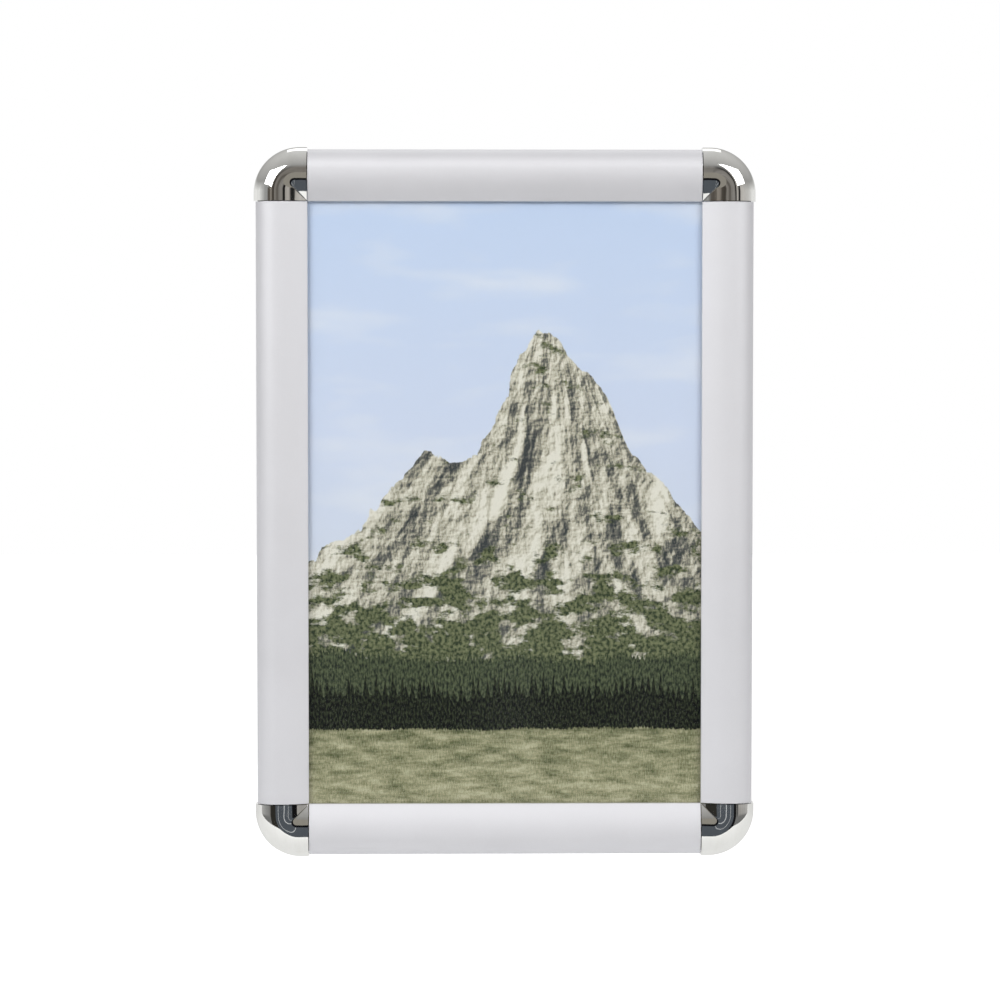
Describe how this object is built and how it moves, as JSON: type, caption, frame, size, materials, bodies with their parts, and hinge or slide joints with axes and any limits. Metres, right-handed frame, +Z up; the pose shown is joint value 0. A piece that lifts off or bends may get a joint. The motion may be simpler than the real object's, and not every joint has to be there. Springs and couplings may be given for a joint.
{
  "type": "poster frame",
  "caption": "Wall poster frame with hinged snap-open aluminium rails, rounded chrome corner caps, and a clear sheet over a poster on a stiff back panel.",
  "frame": {"origin": "middle of the plane that lies on the wall, behind the centre of the frame", "axes": "+Z up along the long side, +X to the right seen from the front, +Y into the wall; the front faces -Y"},
  "size_m": [0.242, 0.0128, 0.343],
  "materials": {
    "satin_aluminium": "satin anodised, fine grain along the rail",
    "chrome": "bright chrome plating on moulded plastic",
    "black_plastic": "moulded, matte",
    "zinc_steel": "zinc plated",
    "spring_steel": "hardened strip, bare",
    "panel_plastic": "extruded sheet, matte",
    "printed_paper": "printed, satin",
    "clear_plastic": "clear anti-glare sheet"
  },
  "bodies": {
    "base": {"base_rail_bottom": "satin_aluminium", "base_rail_left": "satin_aluminium", "base_rail_top": "satin_aluminium", "base_rail_right": "satin_aluminium", "corner_cap_bottom_left": "chrome", "corner_cap_top_left": "chrome", "corner_cap_top_right": "chrome", "corner_cap_bottom_right": "chrome", "corner_joiner_bottom_left": "black_plastic", "corner_joiner_top_left": "black_plastic", "corner_joiner_top_right": "black_plastic", "corner_joiner_bottom_right": "black_plastic", "cap_screw_bottom_left": "zinc_steel", "cap_screw_top_left": "zinc_steel", "cap_screw_top_right": "zinc_steel", "cap_screw_bottom_right": "zinc_steel", "leaf_spring_bottom_1": "spring_steel", "leaf_spring_bottom_2": "spring_steel", "leaf_spring_left_1": "spring_steel", "leaf_spring_left_2": "spring_steel", "leaf_spring_left_3": "spring_steel", "leaf_spring_top_1": "spring_steel", "leaf_spring_top_2": "spring_steel", "leaf_spring_right_1": "spring_steel", "leaf_spring_right_2": "spring_steel", "leaf_spring_right_3": "spring_steel", "backing_panel": "panel_plastic", "poster_sheet": "printed_paper", "clear_cover_sheet": "clear_plastic"},
    "bottom_front_rail": {"snap_rail_bottom": "satin_aluminium"},
    "left_front_rail": {"snap_rail_left": "satin_aluminium"},
    "top_front_rail": {"snap_rail_top": "satin_aluminium"},
    "right_front_rail": {"snap_rail_right": "satin_aluminium"}
  },
  "joints": [
    {"name": "bottom_rail_hinge", "type": "hinge", "parent": "base", "child": "bottom_front_rail", "pos_m": [0, -0.0028, -0.1688], "axis": [1, 0, 0], "range_deg": [0, 95]},
    {"name": "left_rail_hinge", "type": "hinge", "parent": "base", "child": "left_front_rail", "pos_m": [-0.11829, -0.0028, 0], "axis": [0, 0, -1], "range_deg": [0, 95]},
    {"name": "top_rail_hinge", "type": "hinge", "parent": "base", "child": "top_front_rail", "pos_m": [0, -0.0028, 0.1688], "axis": [-1, 0, 0], "range_deg": [0, 95]},
    {"name": "right_rail_hinge", "type": "hinge", "parent": "base", "child": "right_front_rail", "pos_m": [0.11829, -0.0028, 0], "axis": [0, 0, 1], "range_deg": [0, 95]}
  ]
}
